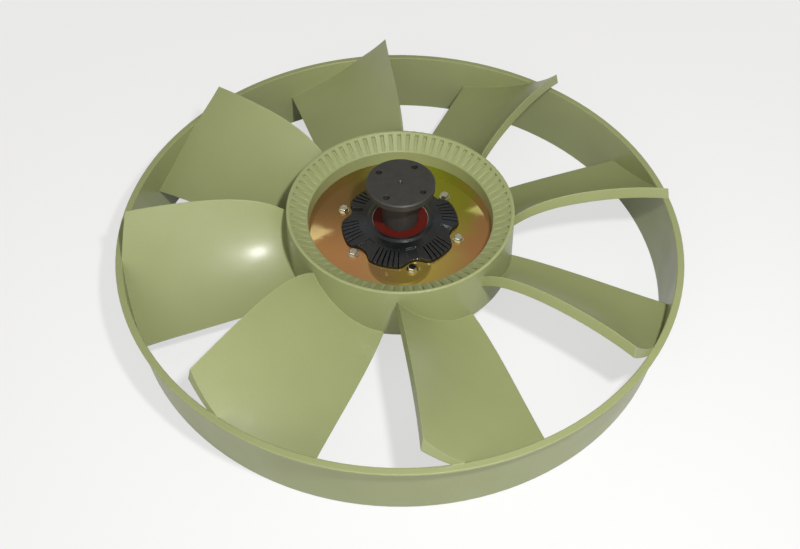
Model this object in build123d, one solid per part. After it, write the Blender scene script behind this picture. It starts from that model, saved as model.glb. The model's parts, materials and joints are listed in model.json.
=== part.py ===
from build123d import *
import math
import os

# Engine cooling fan of a truck, lying with its engine side up
# The one-piece plastic moulding is a flared ring, eight blades and a ribbed hub
# A steel plate in the hub is bolted to the body of a viscous clutch
# The flanged drive shaft turns in the clutch body on a sealed ball bearing
# Lengths are in millimetres, Z is the fan axis, and the ring stands on Z = 0

# Flared outer ring
RING_TOP_RADIUS = 352.0
RING_BOTTOM_RADIUS = 343.7
RING_HEIGHT = 88.0
RING_WALL = 3.2
RING_LIP_WIDTH = 8.5
RING_LIP_THICKNESS = 3.0
RING_FLARE_HEIGHT = 7.0
RING_EDGE_CHAMFER = 0.8

# Blades, with angles measured from each blade's upper tip corner
BLADE_COUNT = 8
FIRST_BLADE_ANGLE = 94.0
BLADE_THICKNESS = 5.0
BLADE_CORNER_RADIUS = 335.0
BLADE_TIP_TOP = 123.0
BLADE_ROOT_TOP = 110.0
BLADE_CROWN = 11.0
BLADE_TIP_BOTTOM = 44.6
BLADE_ROOT_BOTTOM = 47.0
BLADE_TIP_SPAN = 24.6
BLADE_ROOT_SPAN = 32.7
BLADE_TOP_SWEEP = 5.1
BLADE_LOW_BOW = 1.3
BLADE_TIP_CAMBER = 0.084
BLADE_ROOT_CAMBER = 0.124
BLADE_NOSE_DROP = 11.0
BLADE_ROOT_DROP = 8
BLADE_SECTIONS = (-0.07, 0.07, 0.25, 0.5, 0.75, 1.06)
BLADE_TRIM_MARGIN = 15.0

# Hub of the moulding
HUB_RIM_RADIUS = 141.0
HUB_RIM_HEIGHT = 119.0
HUB_RIM_LAND = 3.0
HUB_BOTTOM_RADIUS = 144.5
HUB_BOTTOM_HEIGHT = 46.0
HUB_WALL = 4.0
HUB_BORE_RADIUS = 115.5
HUB_BORE_TOP = 103.2
HUB_SLEEVE_WALL = 9.0
HUB_SLEEVE_SKIRT = 9.0
HUB_EDGE_ROUND = 1.2
POCKET_COUNT = 72
POCKET_FLOOR_SLOPE = 0.5
POCKET_SHARE = 0.45
POCKET_INNER_WALL = 2.0
POCKET_OUTER_WALL = 5.2
POCKET_WEB = 4.0
CORE_RIB_COUNT = 24
CORE_RIB_THICKNESS = 2.5
CORE_RIB_RISE = 8.0

# Steel hub plate moulded into the hub
PLATE_TOP = 84.0
PLATE_THICKNESS = 3.0
PLATE_GRIP = 5.5
PLATE_HOLE_GAP = 0.8

# Six bolts that hold the plate to the clutch body
BOLT_COUNT = 6
FIRST_BOLT_ANGLE = -18.6
BOLT_SIZE = 6.0
BOLT_HOLE = 6.8
BOLT_GAP = 5.5
BOLT_HEAD_FLATS = 10.0
BOLT_HEAD_HEIGHT = 5.8
BOLT_HEAD_CHAMFER = 0.7
BOLT_COLLAR_DIAMETER = 13.6
BOLT_COLLAR_THICKNESS = 1.2
BOLT_LENGTH = 13.0
BOLT_SEAT_WALL = 8.9
BOLT_HOLE_SPARE = 0.8

# Lobed, finned crown of the clutch body, seen inside the plate
LOBE_RADIUS = 73.5
LOBE_EDGE_HEIGHT = 88.5
SCALLOP_RADIUS = 20.0
SCALLOP_DEPTH = 9.5
LOBE_TWIST = 4.0
LOBE_CORNER_ROUND = 12.0
COLLAR_RADIUS = 38.5
COLLAR_HEIGHT = 98.0
COLLAR_LIP = 0.6
CROWN_SHOULDER_RADIUS = 42.0
CROWN_SHOULDER_HEIGHT = 96.0
SLOTS_PER_LOBE = 6
SLOT_PITCH = 5.2
SLOT_WIDTH = 2.0
SLOT_START_RADIUS = 52.0
SLOT_FLOOR_ABOVE_PLATE = 0.8
VALLEY_DEPTH = 2.5
VALLEY_WIDTH = 13.0
VALLEY_START_RADIUS = 50.0

# Clutch body and finned cover
BODY_RADIUS = 104.0
BODY_JOINT_HEIGHT = 46.0
BODY_SHOULDER_HEIGHT = 60.0
BODY_SEAT_DROP = 9.0
BODY_FIN_COUNT = 24
BODY_FIN_THICKNESS = 3.0
BODY_FIN_TOP = 76.0
CHAMBER_RADIUS = 82.0
CHAMBER_TOP = 69.0
COVER_THICKNESS = 6.0
COVER_SPIGOT_HEIGHT = 3.0
COVER_SPIGOT_GAP = 0.1
COVER_BOSS_WALL = 4.0
COVER_BOSS_DEPTH = 13.0
COVER_FLOOR = 3.0
COVER_FIN_COUNT = 32
COVER_FIN_THICKNESS = 3.0
COVER_FIN_DEPTH = 16.0
COVER_FIN_SETBACK = 2.0
RESERVOIR_RADIUS = 50.0
COVER_SCREW_COUNT = 8
COVER_SCREW_INSET = 8.0
COVER_SCREW_SIZE = 5.0
COVER_SCREW_LENGTH = 16.0
COVER_SCREW_HEAD = 8.5
COVER_SCREW_HEAD_HEIGHT = 4.0
COVER_SCREW_SOCKET = 4.0
COVER_SCREW_SOCKET_DEPTH = 2.2
COVER_SEAL_RADIUS = 87.0
COVER_SEAL_SECTION = 2.1

# Drive shaft and its flange
FLANGE_RADIUS = 42.0
FLANGE_TOP = 158.5
FLANGE_THICKNESS = 10.0
FLANGE_EDGE_CHAMFER = 1.4
FLANGE_HOLE_COUNT = 4
FLANGE_HOLE_CIRCLE = 31.5
FLANGE_HOLE_DIAMETER = 8.0
FIRST_FLANGE_HOLE_ANGLE = 58.0
NECK_RADIUS = 22.4
NECK_FOOT = 2.0
CENTRE_DIMPLE = 3.0
SHAFT_END = 60.0
ROTOR_SEAT_RADIUS = 15.0

# Sealed ball bearing
BEARING_BORE_RADIUS = 17.5
BEARING_OUTER_RADIUS = 36.0
BEARING_WIDTH = 17.0
BEARING_TOP = 96.0
BALL_COUNT = 9
BALL_RADIUS = 5.5
BALL_CLEARANCE = 0.05
INNER_RING_RADIUS = 22.2
OUTER_RING_RADIUS = 31.3
BEARING_SEAL_RADIUS = 34.6
BEARING_SEAL_THICKNESS = 1.2
BEARING_SEAL_RECESS = 0.1
BEARING_SEAL_GAP = 0.3
CAGE_THICKNESS = 2.0
CAGE_HEIGHT = 13.2
CAGE_CLEARANCE = 0.15
RETAINER_THICKNESS = 1.8
RETAINER_INNER_RADIUS = 33.5
RETAINER_GROOVE_DEPTH = 2.0
RETAINER_OPENING = 24.0
RETAINER_EYE = 2.0
RETAINER_EYE_ANGLE = 4.0

# Rotor inside the clutch
ROTOR_HUB_RADIUS = 22.0
ROTOR_DISC_TOP = 67.0
ROTOR_DISC_THICKNESS = 5.0
LAND_COUNT = 4
LAND_WIDTH = 2.6
LAND_GAP = 0.6
LAND_DEPTH = 8.0
LAND_END_GAP = 0.8
LAND_FIRST_RADIUS = 58.0
FLUID_HOLE_COUNT = 6
FLUID_HOLE_CIRCLE = 40.0
FLUID_HOLE_DIAMETER = 7.0
ROTOR_WASHER_RADIUS = 17.0
ROTOR_WASHER_THICKNESS = 2.5
ROTOR_BOLT_SIZE = 12.0
ROTOR_BOLT_FLATS = 18.0
ROTOR_BOLT_HEAD = 7.0
ROTOR_BOLT_LENGTH = 24.0

# Divider plate, valve lever and thermostat of the clutch
DIVIDER_RADIUS = 55.0
DIVIDER_THICKNESS = 1.5
DIVIDER_SEAT = 47.0
DIVIDER_GAP = 0.2
DIVIDER_SCREW_COUNT = 4
DIVIDER_SCREW_CIRCLE = 52.5
DIVIDER_SCREW_SIZE = 2.5
DIVIDER_SCREW_HEAD = 4.4
DIVIDER_SCREW_HEAD_HEIGHT = 1.6
DIVIDER_SCREW_LENGTH = 6.0
VALVE_PORT_RADIUS = 38.0
VALVE_PORT_DIAMETER = 6.0
LEVER_THICKNESS = 0.6
LEVER_WIDTH = 10.0
LEVER_RIVET_RADIUS = 30.0
LEVER_RIVET_SIZE = 3.0
LEVER_RIVET_HEAD = 5.5
LEVER_RIVET_HEAD_HEIGHT = 1.0
PIN_RADIUS = 2.5
PIN_CLEARANCE = 0.05
PIN_GUIDE_RADIUS = 7.5
PIN_GUIDE_HEIGHT = 6.0
PIN_SEAL_SECTION = 1.9
STRIP_LENGTH = 66.0
STRIP_WIDTH = 14.0
STRIP_THICKNESS = 1.0
STRIP_DROP = 10.0
STRIP_SLOT_GAP = 0.1
BRACKET_SPACING = 58.0
BRACKET_THICKNESS = 1.5
BRACKET_WIDTH = 20.0
BRACKET_FOOT = 12.0
BRACKET_TAIL = 3.0
BRACKET_SCREW_SIZE = 4.0
BRACKET_SCREW_HEAD = 7.0
BRACKET_SCREW_HEAD_HEIGHT = 2.6
BRACKET_SCREW_LENGTH = 5.0
PLUG_RADIUS = 3.0
PLUG_BOSS_GAP = 16.0
PLUG_LENGTH = 7.0
PLUG_HEAD_RADIUS = 5.0
PLUG_HEAD_HEIGHT = 2.0

# Overrun of cuts and joined solids, so that no skin is left between them
OVERLAP = 1.0

# Heights and radii that follow from the sizes above
RING_INNER_TOP = RING_TOP_RADIUS - RING_LIP_WIDTH
RING_INNER_BOTTOM = RING_BOTTOM_RADIUS - RING_WALL
BLADE_REACH = max(RING_INNER_TOP, RING_INNER_BOTTOM)
PLATE_BOTTOM = PLATE_TOP - PLATE_THICKNESS
PLATE_RADIUS = HUB_BORE_RADIUS + PLATE_GRIP
HUB_SLEEVE_RADIUS = HUB_BORE_RADIUS + HUB_SLEEVE_WALL
POCKET_START = HUB_BORE_RADIUS + POCKET_INNER_WALL
POCKET_END = HUB_RIM_RADIUS - POCKET_OUTER_WALL
SCALLOP_CENTRE = LOBE_RADIUS - SCALLOP_DEPTH + SCALLOP_RADIUS
BOLT_CIRCLE_RADIUS = LOBE_RADIUS - SCALLOP_DEPTH + BOLT_GAP + BOLT_COLLAR_DIAMETER / 2
BODY_SEAT_RADIUS = BOLT_CIRCLE_RADIUS + BOLT_COLLAR_DIAMETER / 2 + BOLT_SEAT_WALL
FIRST_SCALLOP_ANGLE = FIRST_BOLT_ANGLE + LOBE_TWIST
FLANGE_BOTTOM = FLANGE_TOP - FLANGE_THICKNESS
BEARING_BOTTOM = BEARING_TOP - BEARING_WIDTH
BEARING_MIDDLE = BEARING_TOP - BEARING_WIDTH / 2
BALL_CIRCLE = (INNER_RING_RADIUS + OUTER_RING_RADIUS) / 2
RETAINER_BOTTOM = BEARING_BOTTOM - RETAINER_THICKNESS
RETAINER_RADIUS = BEARING_OUTER_RADIUS + RETAINER_GROOVE_DEPTH
ROTOR_DISC_BOTTOM = ROTOR_DISC_TOP - ROTOR_DISC_THICKNESS
LAND_PITCH = 2 * (LAND_WIDTH + LAND_GAP)
ROTOR_RADIUS = LAND_FIRST_RADIUS + LAND_PITCH * (LAND_COUNT - 1) + LAND_WIDTH
ROTOR_WASHER_BOTTOM = SHAFT_END - ROTOR_WASHER_THICKNESS
COVER_BOTTOM = BODY_JOINT_HEIGHT - COVER_THICKNESS
COVER_INNER = BODY_JOINT_HEIGHT + COVER_SPIGOT_HEIGHT
COVER_SCREW_CIRCLE = BODY_RADIUS - COVER_SCREW_INSET
COVER_BOSS_RADIUS = RESERVOIR_RADIUS + COVER_BOSS_WALL
PLUG_CIRCLE = COVER_BOSS_RADIUS + PLUG_BOSS_GAP
BOSS_FACE = BODY_JOINT_HEIGHT - COVER_BOSS_DEPTH
RESERVOIR_FLOOR = BOSS_FACE + COVER_FLOOR
LEVER_BOTTOM = DIVIDER_SEAT - LEVER_THICKNESS
STRIP_TOP = BOSS_FACE - STRIP_DROP
STRIP_BOTTOM = STRIP_TOP - STRIP_THICKNESS
BRACKET_BOTTOM = STRIP_BOTTOM - BRACKET_TAIL
BRACKET_SCREW_X = BRACKET_SPACING / 2 + BRACKET_THICKNESS + BRACKET_FOOT / 2


def around(shape, count, first=0.0):
    """Copies of a shape, evenly spaced about the fan axis."""
    return [Rot(0, 0, first + 360 / count * i) * shape for i in range(count)]


def at_angle(radius, angle, height=0.0):
    """Location of a point given by its radius, angle and height."""
    turn = math.radians(angle)
    return Pos(radius * math.cos(turn), radius * math.sin(turn), height)


def rod(radius, bottom, top):
    """Upright round bar on the fan axis."""
    return Pos(0, 0, bottom) * extrude(Circle(radius), top - bottom)


def tube(outer, inner, bottom, top):
    """Upright tube on the fan axis."""
    return Pos(0, 0, bottom) * extrude(Circle(outer) - Circle(inner), top - bottom)


def turned(points):
    """Solid turned about the fan axis from an outline of radius and height."""
    outline = Polyline([(radius, 0, height) for radius, height in points], close=True)
    return revolve(make_face(outline), Axis.Z)


def hexagon(flats, height):
    """Six-sided bar standing on its origin."""
    return extrude(RegularPolygon(flats / 2, 6, major_radius=False), height)


def blend(root, tip, share):
    """Value between the hub and the ring, at a share of the blade's span."""
    return root + (tip - root) * share


def hub_radius(height):
    """Radius of the hub's sloping outer wall."""
    share = (height - HUB_BOTTOM_HEIGHT) / (HUB_RIM_HEIGHT - HUB_BOTTOM_HEIGHT)
    return blend(HUB_BOTTOM_RADIUS, HUB_RIM_RADIUS, share)


def pocket_floor(radius):
    """Height of the rising floor of the hub's pockets."""
    return HUB_BORE_TOP + POCKET_FLOOR_SLOPE * (radius - HUB_BORE_RADIUS)


def outer_ring():
    """Flared ring with its outward lip."""
    lip_under = RING_HEIGHT - RING_LIP_THICKNESS
    ring = turned([
        (RING_INNER_BOTTOM, 0),
        (RING_INNER_TOP, RING_HEIGHT),
        (RING_TOP_RADIUS, RING_HEIGHT),
        (RING_TOP_RADIUS, lip_under),
        (RING_INNER_TOP + RING_WALL, lip_under - RING_FLARE_HEIGHT),
        (RING_BOTTOM_RADIUS, 0),
    ])
    circles = ring.edges().filter_by(GeomType.CIRCLE)
    foot = RING_EDGE_CHAMFER
    lip = lip_under - RING_EDGE_CHAMFER
    ends = circles.filter_by(lambda e: e.center().Z > lip or e.center().Z < foot)
    return chamfer(ends, RING_EDGE_CHAMFER)


def blade_section(share):
    """Curved strip across a blade, at a share of its span from hub to ring."""
    reach = blend(HUB_BOTTOM_RADIUS, BLADE_REACH, share)
    rest = 1 - share
    centre = BLADE_TIP_SPAN / 2
    top_angle = -BLADE_TOP_SWEEP * rest * abs(rest) - centre
    bow = BLADE_LOW_BOW * 4 * rest * share
    low_angle = blend(BLADE_ROOT_SPAN, BLADE_TIP_SPAN, share) - centre - bow
    fall = (BLADE_ROOT_TOP - BLADE_TIP_TOP) * max(rest, 0) ** BLADE_ROOT_DROP
    top_height = BLADE_TIP_TOP + fall + BLADE_CROWN * 4 * rest * share
    low_height = blend(BLADE_ROOT_BOTTOM, BLADE_TIP_BOTTOM, share)
    top = Vector(reach * math.tan(math.radians(top_angle)), top_height)
    low = Vector(reach * math.tan(math.radians(low_angle)), low_height)
    chord = low - top
    normal = Vector(chord.Y, -chord.X).normalized()
    camber = blend(BLADE_ROOT_CAMBER, BLADE_TIP_CAMBER, share) * chord.length
    middle = (top + low) / 2 + normal * camber
    half = normal * (BLADE_THICKNESS / 2)
    nose = top + half - Vector(0, BLADE_NOSE_DROP)
    upper = ThreePointArc(top - half, middle - half, low - half)
    lower = ThreePointArc(low + half, middle + half, nose)
    edges = [upper, Line(low - half, low + half), lower, Line(nose, top - half)]
    plane = Plane(origin=(reach, 0, 0), x_dir=(0, 1, 0), z_dir=(1, 0, 0))
    return plane * make_face(edges)


def blade():
    """One blade, trimmed inside the hub wall, the ring wall and the tip line."""
    strip = loft([blade_section(share) for share in BLADE_SECTIONS])
    low = BLADE_TIP_BOTTOM - BLADE_TRIM_MARGIN
    high = BLADE_TIP_TOP + BLADE_CROWN + BLADE_TRIM_MARGIN
    join = RING_HEIGHT - RING_LIP_THICKNESS
    slope = (RING_INNER_TOP - RING_INNER_BOTTOM) / RING_HEIGHT
    fall = (RING_INNER_TOP - BLADE_CORNER_RADIUS) / (BLADE_TIP_TOP - join)
    room = turned([
        (hub_radius(low) - HUB_WALL / 2, low),
        (RING_INNER_BOTTOM + slope * low + RING_WALL / 2, low),
        (RING_INNER_BOTTOM + slope * join + RING_WALL / 2, join),
        (RING_INNER_TOP - fall * (high - join), high),
        (hub_radius(high) - HUB_WALL / 2, high),
    ])
    return Rot(0, 0, BLADE_TIP_SPAN / 2) * (strip & room)


def hub():
    """Hollow hub with its bored sleeve, coned top, pockets and core ribs."""
    web_inner = pocket_floor(HUB_SLEEVE_RADIUS) - POCKET_WEB
    web_outer = pocket_floor(HUB_RIM_RADIUS) - POCKET_WEB
    sleeve_end = PLATE_BOTTOM - HUB_SLEEVE_SKIRT
    shell = turned([
        (HUB_BORE_RADIUS, HUB_BORE_TOP),
        (HUB_RIM_RADIUS - HUB_RIM_LAND, HUB_RIM_HEIGHT),
        (HUB_RIM_RADIUS, HUB_RIM_HEIGHT),
        (HUB_BOTTOM_RADIUS, HUB_BOTTOM_HEIGHT),
        (HUB_BOTTOM_RADIUS - HUB_WALL, HUB_BOTTOM_HEIGHT),
        (hub_radius(web_outer) - HUB_WALL, web_outer),
        (HUB_SLEEVE_RADIUS, web_inner),
        (HUB_SLEEVE_RADIUS, sleeve_end),
        (HUB_BORE_RADIUS, sleeve_end),
    ])
    circles = shell.edges().filter_by(GeomType.CIRCLE)
    rim = HUB_RIM_HEIGHT - HUB_EDGE_ROUND
    sleeve = HUB_SLEEVE_RADIUS - HUB_EDGE_ROUND
    rounded = circles.filter_by(lambda e: e.center().Z > rim or e.radius < sleeve)
    shell = fillet(rounded, HUB_EDGE_ROUND)
    outline = Polyline([
        (POCKET_START, 0, pocket_floor(POCKET_START)),
        (POCKET_END, 0, pocket_floor(POCKET_END)),
        (POCKET_END, 0, HUB_RIM_HEIGHT + OVERLAP),
        (POCKET_START, 0, HUB_RIM_HEIGHT + OVERLAP),
    ], close=True)
    pocket = revolve(make_face(outline), Axis.Z, 360 / POCKET_COUNT * POCKET_SHARE)
    rib_start = HUB_SLEEVE_RADIUS - HUB_SLEEVE_WALL / 2
    rib_end = HUB_BOTTOM_RADIUS - HUB_WALL / 2
    rib_bottom = HUB_BOTTOM_HEIGHT + CORE_RIB_RISE
    rib = Pos(rib_start, 0, rib_bottom) * Box(
        rib_end - rib_start, CORE_RIB_THICKNESS, HUB_RIM_HEIGHT - rib_bottom,
        align=(Align.MIN, Align.CENTER, Align.MIN))
    room = turned([
        (rib_start, sleeve_end),
        (HUB_SLEEVE_RADIUS, sleeve_end),
        (rib_end, rib_bottom),
        (hub_radius(web_outer) - HUB_WALL / 2, web_outer + POCKET_WEB / 2),
        (rib_start, web_inner + POCKET_WEB / 2),
    ])
    ribs = [rib & room for rib in around(rib, CORE_RIB_COUNT)]
    return shell + ribs - around(pocket, POCKET_COUNT)


def fan_moulding():
    """Ring, blades and hub as one moulding around the edge of the plate."""
    blades = around(blade(), BLADE_COUNT, FIRST_BLADE_ANGLE)
    return outer_ring() + blades + hub() - rod(PLATE_RADIUS, PLATE_BOTTOM, PLATE_TOP)


def lobed_outline(margin=0.0):
    """Six-lobed outline of the clutch crown, widened all round by a margin."""
    scallop = Pos(SCALLOP_CENTRE, 0) * Circle(SCALLOP_RADIUS - margin)
    outline = Circle(LOBE_RADIUS + margin) - around(scallop, BOLT_COUNT, FIRST_SCALLOP_ANGLE)
    return fillet(outline.vertices(), LOBE_CORNER_ROUND + margin)


def hub_plate():
    """Steel plate with the lobed hole and the six bolt holes."""
    plate = extrude(Circle(PLATE_RADIUS), PLATE_THICKNESS)
    plate -= extrude(lobed_outline(PLATE_HOLE_GAP), PLATE_THICKNESS)
    hole = Pos(BOLT_CIRCLE_RADIUS, 0) * extrude(Circle(BOLT_HOLE / 2), PLATE_THICKNESS)
    return Pos(0, 0, PLATE_BOTTOM) * (plate - around(hole, BOLT_COUNT, FIRST_BOLT_ANGLE))


def fan_bolts():
    """Six flanged hexagon bolts, heads up on the plate."""
    head = extrude(Circle(BOLT_COLLAR_DIAMETER / 2), BOLT_COLLAR_THICKNESS)
    head += hexagon(BOLT_HEAD_FLATS, BOLT_HEAD_HEIGHT)
    head = chamfer(head.faces().sort_by(Axis.Z)[-1].edges(), BOLT_HEAD_CHAMFER)
    shank = Pos(0, 0, -BOLT_LENGTH) * extrude(Circle(BOLT_SIZE / 2), BOLT_LENGTH)
    bolt = Pos(BOLT_CIRCLE_RADIUS, 0, PLATE_TOP) * (head + shank)
    return Compound(children=around(bolt, BOLT_COUNT, FIRST_BOLT_ANGLE))


def clutch_crown():
    """Lobed dome that stands through the plate, with its valleys and radial slots."""
    prism = Pos(0, 0, PLATE_BOTTOM) * extrude(lobed_outline(), COLLAR_HEIGHT - PLATE_BOTTOM)
    dome = turned([
        (0, PLATE_BOTTOM),
        (LOBE_RADIUS + OVERLAP, PLATE_BOTTOM),
        (LOBE_RADIUS + OVERLAP, LOBE_EDGE_HEIGHT),
        (CROWN_SHOULDER_RADIUS, CROWN_SHOULDER_HEIGHT),
        (COLLAR_RADIUS, COLLAR_HEIGHT),
        (0, COLLAR_HEIGHT),
    ])
    valley = Pos(VALLEY_START_RADIUS, 0, PLATE_TOP) * Box(
        LOBE_RADIUS - VALLEY_START_RADIUS, VALLEY_WIDTH, COLLAR_HEIGHT - PLATE_TOP,
        align=(Align.MIN, Align.CENTER, Align.MIN))
    crown = (prism & dome) - around(valley, BOLT_COUNT, FIRST_SCALLOP_ANGLE)
    crown += prism & (Pos(0, 0, -VALLEY_DEPTH) * dome)
    slot_length = LOBE_RADIUS - SLOT_START_RADIUS + OVERLAP
    slot = Pos(SLOT_START_RADIUS, 0, PLATE_TOP + SLOT_FLOOR_ABOVE_PLATE) * Box(
        slot_length, SLOT_WIDTH, COLLAR_HEIGHT - PLATE_TOP,
        align=(Align.MIN, Align.CENTER, Align.MIN))
    first = FIRST_SCALLOP_ANGLE + 180 / BOLT_COUNT - SLOT_PITCH * (SLOTS_PER_LOBE - 1) / 2
    slots = []
    for i in range(SLOTS_PER_LOBE):
        slots += around(slot, BOLT_COUNT, first + SLOT_PITCH * i)
    return crown - slots


def clutch_housing():
    """Cast body of the clutch, with the bearing bore and the fluid chamber."""
    body = turned([
        (0, CHAMBER_TOP),
        (CHAMBER_RADIUS, CHAMBER_TOP),
        (CHAMBER_RADIUS, BODY_JOINT_HEIGHT),
        (BODY_RADIUS, BODY_JOINT_HEIGHT),
        (BODY_RADIUS, BODY_SHOULDER_HEIGHT),
        (BODY_SEAT_RADIUS, PLATE_BOTTOM - BODY_SEAT_DROP),
        (BODY_SEAT_RADIUS, PLATE_BOTTOM),
        (0, PLATE_BOTTOM),
    ])
    fin = Pos(CHAMBER_RADIUS, 0, BODY_SHOULDER_HEIGHT) * Box(
        BODY_RADIUS - CHAMBER_RADIUS, BODY_FIN_THICKNESS, BODY_FIN_TOP - BODY_SHOULDER_HEIGHT,
        align=(Align.MIN, Align.CENTER, Align.MIN))
    body += around(fin, BODY_FIN_COUNT, 180 / BODY_FIN_COUNT)
    body += clutch_crown()
    body -= rod(BEARING_OUTER_RADIUS, CHAMBER_TOP - OVERLAP, BEARING_TOP)
    body -= rod(BEARING_OUTER_RADIUS - COLLAR_LIP, BEARING_TOP, COLLAR_HEIGHT)
    body -= rod(RETAINER_RADIUS, RETAINER_BOTTOM, BEARING_BOTTOM)
    hole_depth = BOLT_LENGTH + BOLT_HOLE_SPARE
    bolt_hole = Pos(BOLT_CIRCLE_RADIUS, 0, PLATE_TOP - hole_depth) * extrude(
        Circle(BOLT_SIZE / 2), hole_depth)
    body -= around(bolt_hole, BOLT_COUNT, FIRST_BOLT_ANGLE)
    screw_hole = Pos(COVER_SCREW_CIRCLE, 0, BODY_JOINT_HEIGHT) * extrude(
        Circle(COVER_SCREW_SIZE / 2), COVER_SCREW_LENGTH - COVER_THICKNESS + BOLT_HOLE_SPARE)
    return body - around(screw_hole, COVER_SCREW_COUNT)


def clutch_cover():
    """Finned cover on the radiator side, with the reservoir and its lands."""
    divider_recess = DIVIDER_RADIUS + DIVIDER_GAP
    shell = turned([
        (0, BOSS_FACE),
        (COVER_BOSS_RADIUS, BOSS_FACE),
        (COVER_BOSS_RADIUS, COVER_BOTTOM),
        (BODY_RADIUS, COVER_BOTTOM),
        (BODY_RADIUS, BODY_JOINT_HEIGHT),
        (CHAMBER_RADIUS - COVER_SPIGOT_GAP, BODY_JOINT_HEIGHT),
        (CHAMBER_RADIUS - COVER_SPIGOT_GAP, COVER_INNER),
        (divider_recess, COVER_INNER),
        (divider_recess, DIVIDER_SEAT),
        (RESERVOIR_RADIUS, DIVIDER_SEAT),
        (RESERVOIR_RADIUS, RESERVOIR_FLOOR),
        (0, RESERVOIR_FLOOR),
    ])
    for i in range(LAND_COUNT - 1):
        inner = LAND_FIRST_RADIUS + LAND_PITCH * i + LAND_WIDTH + LAND_GAP
        top = ROTOR_DISC_BOTTOM - LAND_END_GAP
        shell += tube(inner + LAND_WIDTH, inner, COVER_INNER - OVERLAP, top)
    fin_start = COVER_BOSS_RADIUS - COVER_BOSS_WALL / 2
    fin = Pos(fin_start, 0, COVER_BOTTOM - COVER_FIN_DEPTH) * Box(
        BODY_RADIUS - fin_start, COVER_FIN_THICKNESS, COVER_FIN_DEPTH + COVER_THICKNESS / 2,
        align=(Align.MIN, Align.CENTER, Align.MIN))
    fin_room = turned([
        (fin_start, BOSS_FACE),
        (COVER_BOSS_RADIUS + COVER_FIN_DEPTH, COVER_BOTTOM - COVER_FIN_DEPTH),
        (BODY_RADIUS - COVER_FIN_SETBACK, COVER_BOTTOM - COVER_FIN_DEPTH),
        (BODY_RADIUS - COVER_FIN_SETBACK / 2, COVER_BOTTOM + COVER_THICKNESS / 2),
        (fin_start, COVER_BOTTOM + COVER_THICKNESS / 2),
    ])
    shell += [fin & fin_room for fin in around(fin, COVER_FIN_COUNT, 180 / COVER_FIN_COUNT)]
    shell += rod(PIN_GUIDE_RADIUS, BOSS_FACE, RESERVOIR_FLOOR + PIN_GUIDE_HEIGHT)
    shell -= rod(PIN_RADIUS + PIN_CLEARANCE, BOSS_FACE, RESERVOIR_FLOOR + PIN_GUIDE_HEIGHT)
    groove = PIN_RADIUS + PIN_CLEARANCE + PIN_SEAL_SECTION
    shell -= rod(groove, RESERVOIR_FLOOR, RESERVOIR_FLOOR + PIN_SEAL_SECTION)
    half_seal = COVER_SEAL_SECTION / 2
    shell -= tube(COVER_SEAL_RADIUS + half_seal, COVER_SEAL_RADIUS - half_seal,
                  BODY_JOINT_HEIGHT - COVER_SEAL_SECTION, BODY_JOINT_HEIGHT)
    screw_hole = Pos(COVER_SCREW_CIRCLE, 0, COVER_BOTTOM) * extrude(
        Circle(COVER_SCREW_SIZE / 2), COVER_THICKNESS)
    shell -= around(screw_hole, COVER_SCREW_COUNT)
    divider_hole = Pos(DIVIDER_SCREW_CIRCLE, 0, DIVIDER_SEAT - DIVIDER_SCREW_LENGTH) * extrude(
        Circle(DIVIDER_SCREW_SIZE / 2), DIVIDER_SCREW_LENGTH)
    shell -= around(divider_hole, DIVIDER_SCREW_COUNT, 180 / DIVIDER_SCREW_COUNT)
    for side in (-1, 1):
        shell -= Pos(side * BRACKET_SCREW_X, 0, BOSS_FACE) * extrude(
            Circle(BRACKET_SCREW_SIZE / 2), BRACKET_SCREW_LENGTH - BRACKET_THICKNESS)
    return shell - Pos(0, PLUG_CIRCLE, COVER_BOTTOM) * extrude(Circle(PLUG_RADIUS), PLUG_LENGTH)


def cover_screws():
    """Eight cap screws round the cover, heads on the radiator side."""
    head = Pos(0, 0, -COVER_SCREW_HEAD_HEIGHT) * extrude(
        Circle(COVER_SCREW_HEAD / 2), COVER_SCREW_HEAD_HEIGHT)
    head -= Pos(0, 0, -COVER_SCREW_HEAD_HEIGHT) * hexagon(
        COVER_SCREW_SOCKET, COVER_SCREW_SOCKET_DEPTH)
    screw = head + extrude(Circle(COVER_SCREW_SIZE / 2), COVER_SCREW_LENGTH)
    placed = Pos(COVER_SCREW_CIRCLE, 0, COVER_BOTTOM) * screw
    return Compound(children=around(placed, COVER_SCREW_COUNT))


def cover_seal():
    """Rubber ring in the joint face of the cover."""
    half = COVER_SEAL_SECTION / 2
    return tube(COVER_SEAL_RADIUS + half, COVER_SEAL_RADIUS - half,
                BODY_JOINT_HEIGHT - COVER_SEAL_SECTION, BODY_JOINT_HEIGHT)


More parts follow.
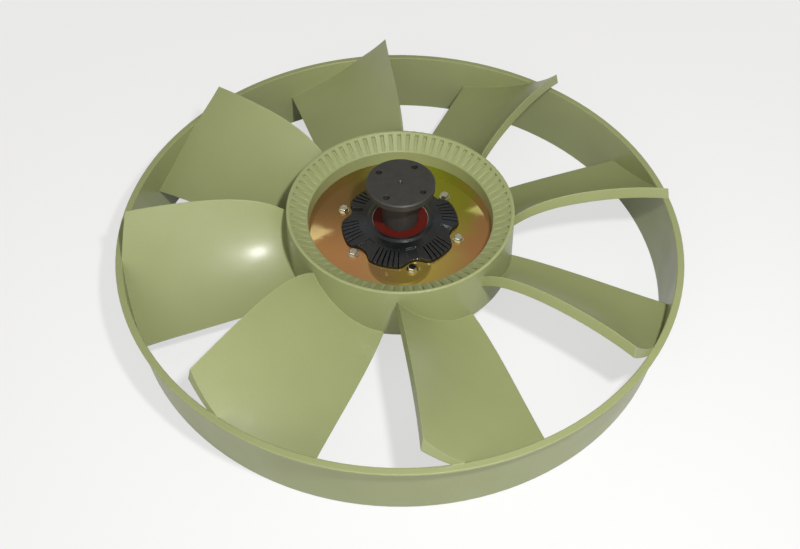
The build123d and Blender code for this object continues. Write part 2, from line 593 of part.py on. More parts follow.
def drive_shaft():
    """Shaft with the drive flange on top, tapped below for the rotor bolt."""
    shaft = turned([
        (0, FLANGE_TOP),
        (FLANGE_RADIUS - FLANGE_EDGE_CHAMFER, FLANGE_TOP),
        (FLANGE_RADIUS, FLANGE_TOP - FLANGE_EDGE_CHAMFER),
        (FLANGE_RADIUS, FLANGE_BOTTOM + FLANGE_EDGE_CHAMFER),
        (FLANGE_RADIUS - FLANGE_EDGE_CHAMFER, FLANGE_BOTTOM),
        (NECK_RADIUS + NECK_FOOT, FLANGE_BOTTOM),
        (NECK_RADIUS, FLANGE_BOTTOM - NECK_FOOT),
        (NECK_RADIUS, BEARING_TOP),
        (BEARING_BORE_RADIUS, BEARING_TOP),
        (BEARING_BORE_RADIUS, BEARING_BOTTOM),
        (ROTOR_SEAT_RADIUS, BEARING_BOTTOM),
        (ROTOR_SEAT_RADIUS, SHAFT_END),
        (0, SHAFT_END),
    ])
    hole = Pos(FLANGE_HOLE_CIRCLE, 0, FLANGE_BOTTOM) * extrude(
        Circle(FLANGE_HOLE_DIAMETER / 2), FLANGE_THICKNESS)
    shaft -= around(hole, FLANGE_HOLE_COUNT, FIRST_FLANGE_HOLE_ANGLE)
    shaft -= Pos(0, 0, FLANGE_TOP - CENTRE_DIMPLE / 2) * Cone(0, CENTRE_DIMPLE, CENTRE_DIMPLE)
    bolt_end = ROTOR_WASHER_BOTTOM + ROTOR_BOLT_LENGTH + BOLT_HOLE_SPARE
    return shaft - rod(ROTOR_BOLT_SIZE / 2, SHAFT_END, bolt_end)


def bearing_outer_ring():
    """Outer race, pressed into the clutch body."""
    ring = turned([
        (BEARING_OUTER_RADIUS, BEARING_BOTTOM),
        (BEARING_OUTER_RADIUS, BEARING_TOP),
        (BEARING_SEAL_RADIUS, BEARING_TOP),
        (BEARING_SEAL_RADIUS, BEARING_TOP - BEARING_SEAL_RECESS - BEARING_SEAL_THICKNESS),
        (OUTER_RING_RADIUS, BEARING_TOP - BEARING_SEAL_RECESS - BEARING_SEAL_THICKNESS),
        (OUTER_RING_RADIUS, BEARING_BOTTOM + BEARING_SEAL_RECESS + BEARING_SEAL_THICKNESS),
        (BEARING_SEAL_RADIUS, BEARING_BOTTOM + BEARING_SEAL_RECESS + BEARING_SEAL_THICKNESS),
        (BEARING_SEAL_RADIUS, BEARING_BOTTOM),
    ])
    return ring - Pos(0, 0, BEARING_MIDDLE) * Torus(BALL_CIRCLE, BALL_RADIUS + BALL_CLEARANCE)


def bearing_inner_ring():
    """Inner race, clamped on the shaft between its shoulder and the rotor."""
    ring = tube(INNER_RING_RADIUS, BEARING_BORE_RADIUS, BEARING_BOTTOM, BEARING_TOP)
    return ring - Pos(0, 0, BEARING_MIDDLE) * Torus(BALL_CIRCLE, BALL_RADIUS + BALL_CLEARANCE)


def bearing_balls():
    """Set of steel balls."""
    ball = Pos(BALL_CIRCLE, 0, BEARING_MIDDLE) * Sphere(BALL_RADIUS)
    return Compound(children=around(ball, BALL_COUNT))


def bearing_cage():
    """Cage that spaces the balls."""
    half = CAGE_HEIGHT / 2
    cage = tube(BALL_CIRCLE + CAGE_THICKNESS / 2, BALL_CIRCLE - CAGE_THICKNESS / 2,
                BEARING_MIDDLE - half, BEARING_MIDDLE + half)
    window = Pos(BALL_CIRCLE, 0, BEARING_MIDDLE) * Rot(0, 90, 0) * Cylinder(
        BALL_RADIUS + CAGE_CLEARANCE, 3 * CAGE_THICKNESS)
    return cage - around(window, BALL_COUNT)


def bearing_seal(bottom):
    """Flat rubber seal that closes one side of the bearing."""
    inner = INNER_RING_RADIUS + BEARING_SEAL_GAP
    return tube(BEARING_SEAL_RADIUS, inner, bottom, bottom + BEARING_SEAL_THICKNESS)


def upper_seal():
    """Red seal round the neck of the shaft."""
    return bearing_seal(BEARING_TOP - BEARING_SEAL_RECESS - BEARING_SEAL_THICKNESS)


def lower_seal():
    """Seal on the fluid side of the bearing."""
    return bearing_seal(BEARING_BOTTOM + BEARING_SEAL_RECESS)


def bearing_retainer():
    """Open spring ring that holds the bearing in its bore."""
    width = RETAINER_RADIUS - RETAINER_INNER_RADIUS
    outline = Polyline([
        (RETAINER_INNER_RADIUS, 0, RETAINER_BOTTOM),
        (RETAINER_RADIUS, 0, RETAINER_BOTTOM),
        (RETAINER_RADIUS, 0, BEARING_BOTTOM),
        (RETAINER_INNER_RADIUS, 0, BEARING_BOTTOM),
    ], close=True)
    ring = revolve(make_face(outline), Axis.Z, 360 - RETAINER_OPENING)
    for angle in (RETAINER_EYE_ANGLE, 360 - RETAINER_OPENING - RETAINER_EYE_ANGLE):
        eye = at_angle(RETAINER_INNER_RADIUS + width / 2, angle, RETAINER_BOTTOM)
        ring -= eye * extrude(Circle(RETAINER_EYE / 2), RETAINER_THICKNESS)
    return ring


def drive_rotor():
    """Rotor disc with the ring-shaped lands that shear the fluid."""
    rotor = rod(ROTOR_RADIUS, ROTOR_DISC_BOTTOM, ROTOR_DISC_TOP)
    rotor += rod(ROTOR_HUB_RADIUS, SHAFT_END, BEARING_BOTTOM)
    for i in range(LAND_COUNT):
        inner = LAND_FIRST_RADIUS + LAND_PITCH * i
        end = ROTOR_DISC_BOTTOM - LAND_DEPTH
        rotor += tube(inner + LAND_WIDTH, inner, end, ROTOR_DISC_BOTTOM + OVERLAP)
    hole = Pos(FLUID_HOLE_CIRCLE, 0, ROTOR_DISC_BOTTOM) * extrude(
        Circle(FLUID_HOLE_DIAMETER / 2), ROTOR_DISC_THICKNESS)
    rotor -= around(hole, FLUID_HOLE_COUNT)
    return rotor - rod(ROTOR_SEAT_RADIUS, SHAFT_END, BEARING_BOTTOM)


def rotor_washer():
    """Thick washer under the rotor bolt."""
    return tube(ROTOR_WASHER_RADIUS, ROTOR_BOLT_SIZE / 2, ROTOR_WASHER_BOTTOM, SHAFT_END)


def rotor_bolt():
    """Bolt that clamps the rotor and the inner race on the shaft."""
    head = Pos(0, 0, ROTOR_WASHER_BOTTOM - ROTOR_BOLT_HEAD) * hexagon(ROTOR_BOLT_FLATS, ROTOR_BOLT_HEAD)
    return head + rod(ROTOR_BOLT_SIZE / 2, ROTOR_WASHER_BOTTOM, ROTOR_WASHER_BOTTOM + ROTOR_BOLT_LENGTH)


def divider_plate():
    """Steel disc between the reservoir and the rotor, with the valve port."""
    face = Circle(DIVIDER_RADIUS) - Pos(VALVE_PORT_RADIUS, 0) * Circle(VALVE_PORT_DIAMETER / 2)
    face -= Pos(-LEVER_RIVET_RADIUS, 0) * Circle(LEVER_RIVET_SIZE / 2)
    hole = Pos(DIVIDER_SCREW_CIRCLE, 0) * Circle(DIVIDER_SCREW_SIZE / 2)
    face -= around(hole, DIVIDER_SCREW_COUNT, 180 / DIVIDER_SCREW_COUNT)
    return Pos(0, 0, DIVIDER_SEAT) * extrude(face, DIVIDER_THICKNESS)


def divider_screws():
    """Four small screws that hold the divider plate."""
    screw = extrude(Circle(DIVIDER_SCREW_HEAD / 2), DIVIDER_SCREW_HEAD_HEIGHT)
    length = DIVIDER_SCREW_LENGTH + DIVIDER_THICKNESS
    screw += Pos(0, 0, -length) * extrude(Circle(DIVIDER_SCREW_SIZE / 2), length)
    placed = Pos(DIVIDER_SCREW_CIRCLE, 0, DIVIDER_SEAT + DIVIDER_THICKNESS) * screw
    return Compound(children=around(placed, DIVIDER_SCREW_COUNT, 180 / DIVIDER_SCREW_COUNT))


def valve_lever():
    """Spring leaf that covers the valve port."""
    reach = VALVE_PORT_RADIUS + LEVER_RIVET_RADIUS
    middle = (VALVE_PORT_RADIUS - LEVER_RIVET_RADIUS) / 2
    face = Pos(middle, 0) * SlotCenterToCenter(reach, LEVER_WIDTH)
    face -= Pos(-LEVER_RIVET_RADIUS, 0) * Circle(LEVER_RIVET_SIZE / 2)
    return Pos(0, 0, LEVER_BOTTOM) * extrude(face, LEVER_THICKNESS)


def lever_rivet():
    """Rivet through the lever and the divider plate."""
    top = DIVIDER_SEAT + DIVIDER_THICKNESS
    rivet = rod(LEVER_RIVET_SIZE / 2, LEVER_BOTTOM, top)
    rivet += rod(LEVER_RIVET_HEAD / 2, top, top + LEVER_RIVET_HEAD_HEIGHT)
    rivet += rod(LEVER_RIVET_HEAD / 2, LEVER_BOTTOM - LEVER_RIVET_HEAD_HEIGHT, LEVER_BOTTOM)
    return Pos(-LEVER_RIVET_RADIUS, 0) * rivet


def control_pin():
    """Pin that carries the thermostat's movement to the lever."""
    return rod(PIN_RADIUS, STRIP_TOP, LEVER_BOTTOM)


def pin_seal():
    """Rubber ring round the control pin."""
    inner = PIN_RADIUS + PIN_CLEARANCE
    top = RESERVOIR_FLOOR + PIN_SEAL_SECTION
    return tube(inner + PIN_SEAL_SECTION, inner, RESERVOIR_FLOOR, top)


def bimetal_strip():
    """Thermostat strip across the middle of the cover."""
    return Pos(0, 0, STRIP_BOTTOM) * extrude(Rectangle(STRIP_LENGTH, STRIP_WIDTH), STRIP_THICKNESS)


def strip_brackets():
    """Two folded tabs whose slots hold the ends of the strip."""
    tabs = []
    for side in (-1, 1):
        wall_x = side * (BRACKET_SPACING + BRACKET_THICKNESS) / 2
        wall = Pos(wall_x, 0, BRACKET_BOTTOM) * Box(
            BRACKET_THICKNESS, BRACKET_WIDTH, BOSS_FACE - BRACKET_BOTTOM,
            align=(Align.CENTER, Align.CENTER, Align.MIN))
        slot = Pos(wall_x, 0, STRIP_BOTTOM - STRIP_SLOT_GAP) * Box(
            2 * BRACKET_THICKNESS, STRIP_WIDTH + 2 * STRIP_SLOT_GAP, STRIP_THICKNESS + 2 * STRIP_SLOT_GAP,
            align=(Align.CENTER, Align.CENTER, Align.MIN))
        foot = Pos(side * BRACKET_SCREW_X, 0, BOSS_FACE - BRACKET_THICKNESS) * Box(
            BRACKET_FOOT, BRACKET_WIDTH, BRACKET_THICKNESS,
            align=(Align.CENTER, Align.CENTER, Align.MIN))
        hole = Pos(side * BRACKET_SCREW_X, 0, BOSS_FACE - BRACKET_THICKNESS) * extrude(
            Circle(BRACKET_SCREW_SIZE / 2), BRACKET_THICKNESS)
        tabs.append(wall + foot - slot - hole)
    return Compound(children=tabs)


def bracket_screws():
    """Two screws that hold the tabs to the cover."""
    screw = extrude(Circle(BRACKET_SCREW_SIZE / 2), BRACKET_SCREW_LENGTH)
    screw += Pos(0, 0, -BRACKET_SCREW_HEAD_HEIGHT) * extrude(
        Circle(BRACKET_SCREW_HEAD / 2), BRACKET_SCREW_HEAD_HEIGHT)
    height = BOSS_FACE - BRACKET_THICKNESS
    return Compound(children=[Pos(side * BRACKET_SCREW_X, 0, height) * screw for side in (-1, 1)])


def filler_plug():
    """Plug in the cover, through which the clutch is filled."""
    plug = extrude(Circle(PLUG_RADIUS), PLUG_LENGTH)
    plug += Pos(0, 0, -PLUG_HEAD_HEIGHT) * extrude(Circle(PLUG_HEAD_RADIUS), PLUG_HEAD_HEIGHT)
    return Pos(0, PLUG_CIRCLE, COVER_BOTTOM) * plug


PIECES = (
    fan_moulding, hub_plate, fan_bolts, clutch_housing, clutch_cover, cover_screws, cover_seal,
    drive_shaft, bearing_outer_ring, bearing_inner_ring, bearing_balls, bearing_cage, upper_seal,
    lower_seal, bearing_retainer, drive_rotor, rotor_washer, rotor_bolt, divider_plate,
    divider_screws, valve_lever, lever_rivet, control_pin, pin_seal, bimetal_strip,
    strip_brackets, bracket_screws, filler_plug,
)

os.makedirs("parts", exist_ok=True)
for piece in PIECES:
    export_step(piece(), f"parts/{piece.__name__}.step")
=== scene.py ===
import json
import math

import bmesh
import bpy
from mathutils import Matrix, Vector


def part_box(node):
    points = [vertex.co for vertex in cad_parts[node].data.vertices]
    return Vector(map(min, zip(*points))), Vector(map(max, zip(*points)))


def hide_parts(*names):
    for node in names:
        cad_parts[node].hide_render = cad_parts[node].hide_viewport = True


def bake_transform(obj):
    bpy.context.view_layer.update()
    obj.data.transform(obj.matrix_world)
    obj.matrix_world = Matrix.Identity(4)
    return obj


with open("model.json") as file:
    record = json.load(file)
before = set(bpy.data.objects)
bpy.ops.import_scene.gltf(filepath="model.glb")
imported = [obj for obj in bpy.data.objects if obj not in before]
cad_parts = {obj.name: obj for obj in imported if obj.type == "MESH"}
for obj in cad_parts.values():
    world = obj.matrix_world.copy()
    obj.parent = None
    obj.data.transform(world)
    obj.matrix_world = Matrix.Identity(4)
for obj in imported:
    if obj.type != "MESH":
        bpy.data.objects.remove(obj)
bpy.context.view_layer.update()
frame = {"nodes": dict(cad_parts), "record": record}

# Camera, fitted to the photograph of 800 by 549 pixels
PHOTO_WIDTH = 800
FOCAL_PIXELS = 898.9
SENSOR_WIDTH = 36.0
CAMERA_DISTANCE = 1.2014
CAMERA_ELEVATION = math.radians(49.14)
CAMERA_PITCH = math.radians(49.54)
CAMERA_YAW = math.radians(-0.02)
CAMERA_ROLL = math.radians(0.54)

# Lamp whose mirror image is the bright spot on the left blade
LAMP_PLACE = (0.245, -0.597, 1.070)
LAMP_WIDTH = 0.085
LAMP_POWER = 12.0

# Studio: brightness of its walls and ceiling, the share that the right wall keeps, and its colours
WALL_FRONT = 1.9
WALL_BACK_LOW = 0.55
WALL_BACK_HIGH = 0.29
WALL_RIGHT = 0.45
CEILING = 0.33
WHITE = (1.0, 1.0, 1.0)
WALL_WARM = (1.0, 0.94, 0.80)

# Where one part of the studio turns into the next, by a direction's X, Y or Z
FRONT_TO_BACK = (-0.95, -0.1)
LOW_TO_HIGH = (0.1, 0.35)
MIDDLE_TO_RIGHT = (0.0, 0.8)
WALL_TO_CEILING = (0.69, 0.75)
WHITE_TO_WARM = (-0.8, -0.2)

# Floor: half its side, its drop under the fan, and what it gives back to the fan
FLOOR_REACH = 30.0
FLOOR_DROP = 0.0005
FLOOR_PALE = 0.38
# How the eye sees it: shade and glow near the fan, and the distances where they turn into white
FLOOR_SEEN = 0.25
FLOOR_GLOW = 0.64
NEAR_TO_FAR = (0.6, 2.5)

# Light tube high behind the fan, which the plate mirrors: normal of the plane that it lies in,
# half its width, half the gap between its two lengths, and how far these taper beside the gap
TUBE_NORMAL = (-0.1565, 0.7117, -0.6849)
TUBE_HALF_WIDTH = 0.0083
TUBE_GAP = 0.07
TUBE_TAPER = 0.03
TUBE_LEVEL = 2.0
TUBE_COLOUR = (0.65, 1.0, 1.1)

# Thermostat strip: how many lengths a half bends in, and how near its mesh's corners are when they count as
# one
STRIP_LENGTHS = 14
STRIP_WELD = 1e-6

# Zinc film: how far left and right its shades reach, partly its own colour and partly painted reflection,
# and where front shades turn into the darker rear ones, a painted reflection of the dark rear
FILM_REACH = 0.11
FILM_TO_PAINTED_REAR_REFLECTION = (-0.06, 0.045)

# Colour and roughness of bare metals and of rubbers, by the name of their slot
METALS = {
    "bolt_steel": ((0.90, 0.86, 0.70), 0.16),
    "bearing_steel": ((0.92, 0.87, 0.76), 0.5),
    "rotor_aluminium": ((0.72, 0.73, 0.74), 0.3),
    "spring_steel": ((0.50, 0.49, 0.46), 0.3),
    "zinc_screw": ((0.62, 0.62, 0.60), 0.28),
}
RUBBERS = {
    "seal_red": ((0.088, 0.006, 0.003), 0.5),
    "seal_black": ((0.015, 0.015, 0.016), 0.55),
}

# Samples with which the materials round their sharp edges, and where most values of a noise lie
BEVEL_SAMPLES = 6
NOISE_LOW = 0.3
NOISE_HIGH = 0.7

# Colour sockets of the Mix node, whose names repeat
MIX_FIRST = 6
MIX_SECOND = 7
MIX_RESULT = 2


class Nodes:
    """Adds nodes to one material or world and links them."""

    def __init__(self, owner):
        owner.use_nodes = True
        self.tree = owner.node_tree

    def find(self, kind):
        """First node of a kind."""
        return next(node for node in self.tree.nodes if node.bl_idname == kind)

    def link(self, output, socket):
        self.tree.links.new(output, socket)

    def add(self, kind, inputs=None, **settings):
        """New node, whose inputs take a number, a colour or another node's output."""
        node = self.tree.nodes.new(kind)
        for name, value in settings.items():
            setattr(node, name, value)
        for name, value in (inputs or {}).items():
            if isinstance(value, bpy.types.NodeSocket):
                self.link(value, node.inputs[name])
            else:
                node.inputs[name].default_value = value
        return node

    def place(self):
        """Place on the object, in metres."""
        return self.add("ShaderNodeTexCoord").outputs["Object"]

    def noise(self, scale, detail=3.0, roughness=0.5, distortion=0.0):
        """Value of a noise fixed to the object, with so many waves to the metre."""
        return self.add("ShaderNodeTexNoise", {
            "Vector": self.place(),
            "Scale": scale,
            "Detail": detail,
            "Roughness": roughness,
            "Distortion": distortion,
        }).outputs["Fac"]

    def math(self, operation, first, second=0.0):
        node = self.add("ShaderNodeMath", {0: first, 1: second}, operation=operation)
        return node.outputs[0]

    def ramp(self, value, stops):
        """Colour from a value, by stops of place and colour."""
        node = self.add("ShaderNodeValToRGB", {"Fac": value})
        elements = node.color_ramp.elements
        elements[0].position, elements[0].color = stops[0][0], (*stops[0][1], 1)
        elements[1].position, elements[1].color = stops[-1][0], (*stops[-1][1], 1)
        for place, colour in stops[1:-1]:
            elements.new(place).color = (*colour, 1)
        return node.outputs["Color"]

    def spread(self, value, low, high):
        """Value of a noise spread over low to high."""
        return self.add("ShaderNodeMapRange", {
            "Value": value, "From Min": NOISE_LOW, "From Max": NOISE_HIGH, "To Min": low, "To Max": high,
        }).outputs["Result"]

    def fade(self, value, low, high, first, last):
        """Value between low and high turned smoothly into first to last."""
        return self.add("ShaderNodeMapRange", {
            "Value": value, "From Min": low, "From Max": high, "To Min": first, "To Max": last,
        }, interpolation_type="SMOOTHSTEP").outputs["Result"]

    def rounded(self, radius):
        """Surface normal as if sharp edges had this radius."""
        return self.add("ShaderNodeBevel", {"Radius": radius}, samples=BEVEL_SAMPLES).outputs["Normal"]

    def bump(self, heights, distance, strength, rounding=None):
        """Surface normal from heights, on edges rounded by so many metres."""
        inputs = {"Height": heights, "Distance": distance, "Strength": strength}
        if rounding:
            inputs["Normal"] = self.rounded(rounding)
        return self.add("ShaderNodeBump", inputs).outputs["Normal"]

    def edges(self, radius, low=0.02, high=0.25):
        """Mask of 0 on flats and 1 at sharp edges within a radius."""
        flat = self.add("ShaderNodeNewGeometry").outputs["Normal"]
        same = self.add("ShaderNodeVectorMath", {0: self.rounded(radius), 1: flat}, operation="DOT_PRODUCT")
        turn = self.math("SUBTRACT", 1.0, same.outputs["Value"])
        return self.add("ShaderNodeMapRange", {
            "Value": turn, "From Min": low, "From Max": high,
        }).outputs["Result"]


def new_material(name, **constants):
    """Material whose shader takes constants by their socket names, with underscores for blanks."""
    made = bpy.data.materials.new(name)
    nodes = Nodes(made)
    shader = nodes.find("ShaderNodeBsdfPrincipled")
    for socket, value in constants.items():
        shader.inputs[socket.replace("_", " ")].default_value = value
    return made, nodes, shader


def blend_colours(nodes, share, first, second):
    """Colour between two colours, by a share of 0 to 1."""
    mixed = nodes.add("ShaderNodeMix", {"Factor": share}, data_type="RGBA")
    for number, colour in ((MIX_FIRST, first), (MIX_SECOND, second)):
        if isinstance(colour, bpy.types.NodeSocket):
            nodes.link(colour, mixed.inputs[number])
        else:
            mixed.inputs[number].default_value = (*colour, 1)
    return mixed.outputs[MIX_RESULT]


def link_finish(nodes, shader, colour, roughness, normal):
    """Feeds a material's colour, roughness and normal into its shader."""
    for socket, output in (("Base Color", colour), ("Roughness", roughness), ("Normal", normal)):
        nodes.link(output, shader.inputs[socket])


def fan_plastic():
    """Olive green moulded plastic, half glossy, with a painted highlight that makes its edges paler."""
    made, nodes, shader = new_material(
        "fan_plastic", Specular_IOR_Level=0.3, Coat_Weight=0.23, Coat_Roughness=0.225)
    cloud = nodes.noise(7.0, detail=4.0, roughness=0.55)
    colour = nodes.ramp(cloud, [
        (0.25, (0.252, 0.278, 0.122)),
        (0.5, (0.268, 0.293, 0.132)),
        (0.75, (0.284, 0.308, 0.142)),
    ])
    speck = nodes.spread(nodes.noise(420.0, detail=2.0), 0.0, 0.16)
    colour = blend_colours(nodes, speck, colour, (0.21, 0.24, 0.098))
    # Paler edges: painted highlight, the light caught on the rounded blade edges.
    painted_edge_highlight = nodes.math("MULTIPLY", nodes.edges(0.0016), 0.55)
    colour = blend_colours(nodes, painted_edge_highlight, colour, (0.38, 0.43, 0.21))
    roughness = nodes.spread(nodes.noise(18.0, detail=5.0), 0.38, 0.48)
    grain = nodes.math("MULTIPLY", nodes.noise(900.0, detail=2.0), 0.05)
    wave = nodes.math("MULTIPLY", nodes.noise(14.0, detail=1.0), 0.95)
    heights = nodes.math("ADD", grain, wave)
    normal = nodes.bump(heights, distance=0.0006, strength=0.8, rounding=0.0012)
    link_finish(nodes, shader, colour, roughness, normal)
    return made


def plate_zinc():
    """Steel with yellow zinc passivation, whose colour shifts between rose and olive across the plate,
    partly the film's own and partly painted reflection, and darkens at the rear in a painted reflection.
    """
    made, nodes, shader = new_material("plate_zinc", Metallic=0.75, Specular_IOR_Level=0.2)
    along = nodes.add("ShaderNodeSeparateXYZ", {"Vector": nodes.place()}).outputs
    across = nodes.add("ShaderNodeMapRange", {
        "Value": along["X"], "From Min": -FILM_REACH, "From Max": FILM_REACH,
    })
    cloud = nodes.noise(11.0, roughness=0.6, distortion=0.8)
    drift = nodes.math("MULTIPLY", nodes.math("SUBTRACT", cloud, 0.5), 0.3)
    place = nodes.math("ADD", across.outputs["Result"], drift)
    # Front shades across the plate: the film's own rose and gold, with the reflection of the surroundings
    # painted in.
    front = nodes.ramp(place, [
        (0.03, (0.66, 0.33, 0.12)),
        (0.23, (0.62, 0.31, 0.13)),
        (0.37, (0.56, 0.36, 0.13)),
        (0.52, (0.60, 0.43, 0.09)),
        (0.64, (0.58, 0.43, 0.09)),
        (0.80, (0.50, 0.35, 0.10)),
        (0.92, (0.50, 0.24, 0.10)),
    ])
    # Rear shades, darker and olive: painted reflection of the dark rear and of the olive hub wall that the
    # plate mirrors.
    back = nodes.ramp(place, [
        (0.10, (0.28, 0.16, 0.06)),
        (0.25, (0.22, 0.16, 0.04)),
        (0.36, (0.26, 0.24, 0.06)),
        (0.62, (0.50, 0.41, 0.09)),
        (0.72, (0.34, 0.35, 0.03)),
        (0.86, (0.30, 0.29, 0.03)),
        (0.96, (0.40, 0.22, 0.08)),
    ])
    # Front shades turn into the painted rear reflection towards the back.
    colour = blend_colours(nodes, nodes.fade(along["Y"], *FILM_TO_PAINTED_REAR_REFLECTION, 0.0, 1.0), front, back)
    roughness = nodes.spread(nodes.noise(60.0, detail=4.0, roughness=0.6), 0.02, 0.05)
    normal = nodes.bump(nodes.noise(35.0, detail=2.0), distance=0.00005, strength=0.3)
    link_finish(nodes, shader, colour, roughness, normal)
    return made


def bare_metal(name, colour, roughness):
    """Metal with a fine grain, a little uneven in colour and gloss."""
    made, nodes, shader = new_material(name, Metallic=1.0)
    dark = tuple(0.78 * part for part in colour)
    cloud = nodes.spread(nodes.noise(120.0, detail=4.0, roughness=0.6), 0.0, 1.0)
    clouded = blend_colours(nodes, cloud, dark, colour)
    uneven = nodes.spread(nodes.noise(260.0), 0.8 * roughness, 1.25 * roughness)
    normal = nodes.bump(nodes.noise(500.0), distance=0.0001, strength=0.5, rounding=0.0003)
    link_finish(nodes, shader, clouded, uneven, normal)
    return made


def clutch_black():
    """Black painted casting with a fine sand texture and painted highlights on its edges, broken into
    patches.
    """
    made, nodes, shader = new_material("clutch_black", Specular_IOR_Level=0.75)
    # Paler edges in patches: painted highlight, the glints along the crown's rims.
    patches = nodes.spread(nodes.noise(150.0), 0.1, 0.9)
    painted_edge_highlight = nodes.math("MULTIPLY", nodes.edges(0.0008, low=0.05, high=0.3), patches)
    cloud = nodes.spread(nodes.noise(40.0, detail=4.0), 0.0, 1.0)
    colour = blend_colours(nodes, cloud, (0.005, 0.0055, 0.0065), (0.011, 0.012, 0.014))
    colour = blend_colours(nodes, painted_edge_highlight, colour, (0.11, 0.11, 0.12))
    roughness = nodes.spread(nodes.noise(60.0), 0.10, 0.24)
    sand = nodes.noise(1100.0, roughness=0.6)
    normal = nodes.bump(sand, distance=0.0002, strength=0.5, rounding=0.0006)
    link_finish(nodes, shader, colour, roughness, normal)
    return made


def shaft_steel():
    """Turned shaft and flange under a matt charcoal coating."""
    made, nodes, shader = new_material("shaft_steel", Specular_IOR_Level=0.4)
    mottle = nodes.spread(nodes.noise(90.0, detail=4.0, roughness=0.6), 0.0, 1.0)
    colour = blend_colours(nodes, mottle, (0.027, 0.025, 0.022), (0.034, 0.032, 0.028))
    # Paler edges: painted highlight, the light caught on the flange's rims.
    painted_edge_highlight = nodes.math("MULTIPLY", nodes.edges(0.0009, low=0.03, high=0.3), 0.35)
    colour = blend_colours(nodes, painted_edge_highlight, colour, (0.12, 0.118, 0.112))
    roughness = nodes.spread(nodes.noise(150.0), 0.42, 0.55)
    grain = nodes.noise(1500.0, detail=2.0)
    normal = nodes.bump(grain, distance=0.00006, strength=0.4, rounding=0.0009)
    link_finish(nodes, shader, colour, roughness, normal)
    return made


def rubber(name, colour, roughness):
    """Moulded rubber with a dusty, uneven gloss."""
    made, nodes, shader = new_material(name, Specular_IOR_Level=0.15)
    dusty = tuple(0.8 * part + 0.004 for part in colour)
    cloud = nodes.spread(nodes.noise(180.0, detail=4.0), 0.0, 1.0)
    clouded = blend_colours(nodes, cloud, colour, dusty)
    uneven = nodes.spread(nodes.noise(90.0), 0.85 * roughness, 1.15 * roughness)
    normal = nodes.bump(nodes.noise(900.0, detail=2.0), distance=0.0001, strength=0.4)
    link_finish(nodes, shader, clouded, uneven, normal)
    return made


def make_finishes():
    """Every finish, by the name of its material slot."""
    finishes = {
        "fan_plastic": fan_plastic(),
        "plate_zinc": plate_zinc(),
        "clutch_black": clutch_black(),
        "shaft_steel": shaft_steel(),
    }
    for name, (colour, roughness) in METALS.items():
        finishes[name] = bare_metal(name, colour, roughness)
    for name, (colour, roughness) in RUBBERS.items():
        finishes[name] = rubber(name, colour, roughness)
    return finishes


def dress_nodes():
    """Gives every CAD node the finish of its material slot."""
    finishes = make_finishes()
    for part in frame["record"]["subparts"]:
        slots = frame["nodes"][part["node"]].data.materials
        slots.clear()
        slots.append(finishes[part["material_slot"]])


def cut_across(shape, place, side, keep_half=False):
    """Cuts a shape at a place along X, may keep only its half on that side, and gives the cut's edges."""
    found = bmesh.ops.bisect_plane(
        shape, geom=[*shape.verts, *shape.edges, *shape.faces],
        plane_co=(place, 0, 0), plane_no=(side, 0, 0), clear_inner=keep_half)
    return [piece for piece in found["geom_cut"] if isinstance(piece, bmesh.types.BMEdge)]


def halve_strip(mesh, side, reach):
    """Cuts the strip's mesh down to the half on one side, in short lengths that can bend."""
    shape = bmesh.new()
    shape.from_mesh(mesh)
    bmesh.ops.remove_doubles(shape, verts=shape.verts, dist=STRIP_WELD)
    rim = cut_across(shape, 0, side, keep_half=True)
    bmesh.ops.contextual_create(shape, geom=rim)
    for number in range(1, STRIP_LENGTHS):
        cut_across(shape, side * number * reach / STRIP_LENGTHS, side)
    bmesh.ops.recalc_face_normals(shape, faces=shape.faces)
    shape.to_mesh(mesh)
    shape.free()


def bend_strip():
    """Bimetal strip in two halves, from the brackets to the control pin, each cut into short lengths."""
    node = "bimetal_strip"
    strip = frame["nodes"][node]
    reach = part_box(node)[1][0]
    for name, side in (("left", -1), ("right", 1)):
        half = bpy.data.objects.new(f"{node}_{name}", strip.data.copy())
        bpy.context.scene.collection.objects.link(half)
        halve_strip(half.data, side, reach)
        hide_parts(node)
        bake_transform(half)


def make_camera():
    """Camera at the place, aim and lens of the photograph's."""
    data = bpy.data.cameras.new("camera")
    data.sensor_width = SENSOR_WIDTH
    data.lens = FOCAL_PIXELS * SENSOR_WIDTH / PHOTO_WIDTH
    camera = bpy.data.objects.new("camera", data)
    bpy.context.scene.collection.objects.link(camera)
    camera.location = (
        0,
        -CAMERA_DISTANCE * math.cos(CAMERA_ELEVATION),
        CAMERA_DISTANCE * math.sin(CAMERA_ELEVATION),
    )
    aim = Matrix.Rotation(CAMERA_YAW, 3, "Z") @ Matrix.Rotation(math.pi / 2 - CAMERA_PITCH, 3, "X")
    camera.rotation_euler = (aim @ Matrix.Rotation(CAMERA_ROLL, 3, "Z")).to_euler()
    bpy.context.scene.camera = camera


def make_lamp():
    """Round soft box that faces the middle of the fan."""
    data = bpy.data.lights.new("key_softbox", "AREA")
    data.shape = "DISK"
    data.size = LAMP_WIDTH
    data.energy = LAMP_POWER
    lamp = bpy.data.objects.new("key_softbox", data)
    bpy.context.scene.collection.objects.link(lamp)
    lamp.location = LAMP_PLACE
    lamp.rotation_euler = (-lamp.location).to_track_quat("-Z", "Y").to_euler()


def light_walls(nodes, along):
    """Level of the studio's walls and ceiling in every direction."""
    back = nodes.fade(along["Z"], *LOW_TO_HIGH, WALL_BACK_LOW, WALL_BACK_HIGH)
    walls = nodes.fade(along["Y"], *FRONT_TO_BACK, WALL_FRONT, back)
    right = nodes.fade(along["X"], *MIDDLE_TO_RIGHT, 1.0, WALL_RIGHT)
    return nodes.fade(along["Z"], *WALL_TO_CEILING, nodes.math("MULTIPLY", walls, right), CEILING)


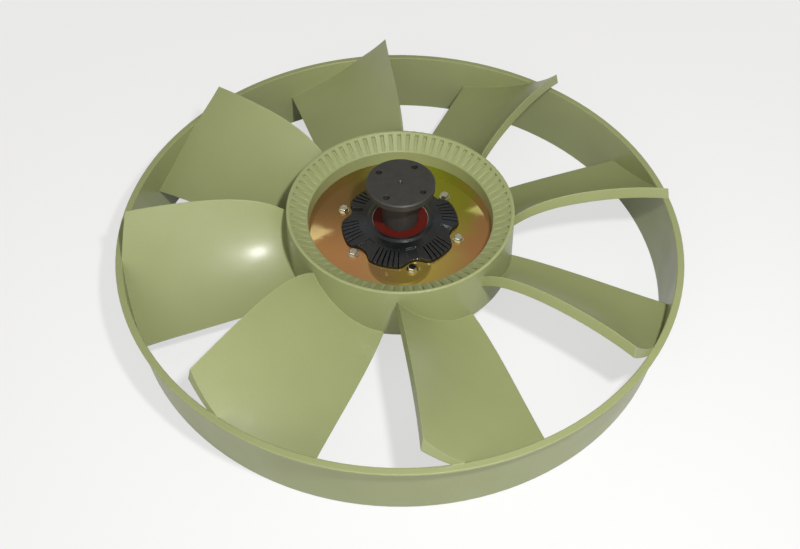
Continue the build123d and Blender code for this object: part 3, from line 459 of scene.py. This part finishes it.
def inside_tube(nodes, direction, along):
    """Mask of 1 in the directions of the light tube."""
    across = nodes.add("ShaderNodeVectorMath", {0: direction, 1: TUBE_NORMAL}, operation="DOT_PRODUCT")
    away = nodes.math("ABSOLUTE", across.outputs["Value"])
    side = nodes.math("ABSOLUTE", along["X"])
    half_width = nodes.fade(side, TUBE_GAP, TUBE_GAP + TUBE_TAPER, 0.0, TUBE_HALF_WIDTH)
    behind = nodes.math("GREATER_THAN", along["Y"], 0.0)
    return nodes.math("MULTIPLY", nodes.math("GREATER_THAN", half_width, away), behind)


def make_world():
    """Studio, bright in front and darker behind, above and to the right, but white to the camera."""
    world = bpy.data.worlds.new("studio")
    bpy.context.scene.world = world
    nodes = Nodes(world)
    background = nodes.find("ShaderNodeBackground")
    direction = nodes.add("ShaderNodeTexCoord").outputs["Generated"]
    along = nodes.add("ShaderNodeSeparateXYZ", {"Vector": direction}).outputs
    tube = inside_tube(nodes, direction, along)
    level = nodes.math("MAXIMUM", light_walls(nodes, along), nodes.math("MULTIPLY", tube, TUBE_LEVEL))
    seen = nodes.add("ShaderNodeLightPath").outputs["Is Camera Ray"]
    nodes.link(nodes.math("MAXIMUM", level, seen), background.inputs["Strength"])
    colour = blend_colours(nodes, nodes.fade(along["Y"], *WHITE_TO_WARM, 0.0, 1.0), WHITE, WALL_WARM)
    colour = blend_colours(nodes, tube, colour, TUBE_COLOUR)
    nodes.link(blend_colours(nodes, seen, colour, WHITE), background.inputs["Color"])


def make_floor():
    """Pale floor that keeps the fan's shadow and looks white to the camera."""
    mesh = bpy.data.meshes.new("floor")
    ways = ((-1, -1), (1, -1), (1, 1), (-1, 1))
    corners = [(x * FLOOR_REACH, y * FLOOR_REACH, 0) for x, y in ways]
    mesh.from_pydata(corners, [], [(0, 1, 2, 3)])
    floor = bpy.data.objects.new("floor", mesh)
    bpy.context.scene.collection.objects.link(floor)
    floor.location.z = -FLOOR_DROP
    made, nodes, shader = new_material(
        "floor", Roughness=0.9, Specular_IOR_Level=0.0, Emission_Color=(*WHITE, 1))
    path = nodes.add("ShaderNodeLightPath")
    seen = nodes.math("MAXIMUM", path.outputs["Is Camera Ray"], path.outputs["Is Glossy Ray"])
    away = nodes.add("ShaderNodeVectorMath", {0: nodes.place()}, operation="LENGTH").outputs["Value"]
    glow = nodes.fade(away, *NEAR_TO_FAR, FLOOR_GLOW, 1.0)
    nodes.link(nodes.math("MULTIPLY", seen, glow), shader.inputs["Emission Strength"])
    shade = nodes.fade(away, *NEAR_TO_FAR, FLOOR_SEEN, 0.0)
    grey = nodes.add("ShaderNodeCombineColor", {"Red": shade, "Green": shade, "Blue": shade})
    pale = (FLOOR_PALE, FLOOR_PALE, FLOOR_PALE)
    nodes.link(blend_colours(nodes, seen, pale, grey.outputs["Color"]), shader.inputs["Base Color"])
    mesh.materials.append(made)


dress_nodes()
bend_strip()
make_camera()
make_lamp()
make_world()
make_floor()

bpy.context.scene.view_settings.view_transform = "Standard"
